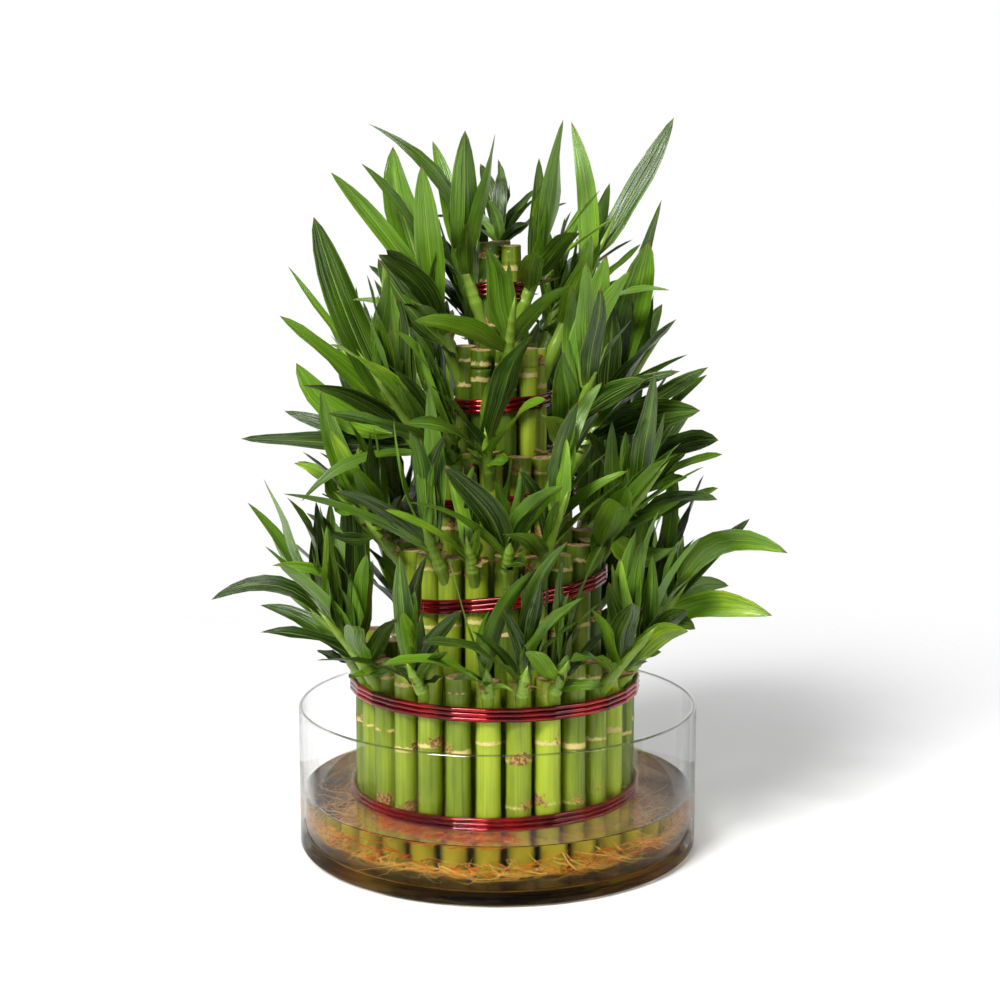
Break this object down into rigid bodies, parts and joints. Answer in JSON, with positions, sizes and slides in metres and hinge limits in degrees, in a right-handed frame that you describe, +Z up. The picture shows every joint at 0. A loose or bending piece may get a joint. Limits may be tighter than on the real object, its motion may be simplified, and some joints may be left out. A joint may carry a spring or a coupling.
{
  "type": "potted lucky bamboo tower",
  "caption": "Stepped tower of cut green canes tied with red wire, with leafy shoots, standing in shallow water in a low round glass bowl.",
  "frame": {"origin": "middle of the flat underside of the bowl", "axes": "+Z up along the tower, -Y the side the picture shows, +X to the right in the picture"},
  "size_m": [0.288, 0.2386, 0.361],
  "materials": {
    "glass": "clear polished glass",
    "water": "clear, slightly amber water",
    "root": "wet fibrous root",
    "cane": "smooth satin green cane",
    "leaf": "waxy green leaf",
    "wire": "shiny red coloured wire"
  },
  "bodies": {
    "root": {"bowl": "glass", "water": "water", "roots": "root", "tier1_canes": "cane", "tier1_wire_band_1": "wire", "tier1_wire_band_2": "wire", "tier2_canes": "cane", "tier2_wire_band_1": "wire", "tier3_canes": "cane", "tier3_wire_band_1": "wire", "tier4_canes": "cane", "tier4_wire_band_1": "wire", "tier5_canes": "cane", "tier5_wire_band_1": "wire", "tier5_shoot_01": "leaf", "tier5_shoot_02": "leaf", "tier5_shoot_03": "leaf", "tier4_shoot_01": "leaf", "tier4_shoot_02": "leaf", "tier4_shoot_03": "leaf", "tier4_shoot_04": "leaf", "tier4_shoot_05": "leaf", "tier4_shoot_06": "leaf", "tier3_shoot_01": "leaf", "tier3_shoot_02": "leaf", "tier3_shoot_03": "leaf", "tier3_shoot_04": "leaf", "tier3_shoot_05": "leaf", "tier3_shoot_06": "leaf", "tier3_shoot_07": "leaf", "tier3_shoot_08": "leaf", "tier3_shoot_09": "leaf", "tier2_shoot_01": "leaf", "tier2_shoot_02": "leaf", "tier2_shoot_03": "leaf", "tier2_shoot_04": "leaf", "tier2_shoot_05": "leaf", "tier2_shoot_06": "leaf", "tier2_shoot_07": "leaf", "tier2_shoot_08": "leaf", "tier2_shoot_09": "leaf", "tier2_shoot_10": "leaf", "tier2_shoot_11": "leaf", "tier2_shoot_12": "leaf", "tier1_shoot_01": "leaf", "tier1_shoot_02": "leaf", "tier1_shoot_03": "leaf", "tier1_shoot_04": "leaf", "tier1_shoot_05": "leaf", "tier1_shoot_06": "leaf", "tier1_shoot_07": "leaf", "tier1_shoot_08": "leaf", "tier1_shoot_09": "leaf", "tier1_shoot_10": "leaf", "tier1_shoot_11": "leaf", "tier1_shoot_12": "leaf", "tier1_shoot_13": "leaf", "tier1_shoot_14": "leaf", "tier1_shoot_15": "leaf", "tier1_shoot_16": "leaf"}
  },
  "joints": []
}
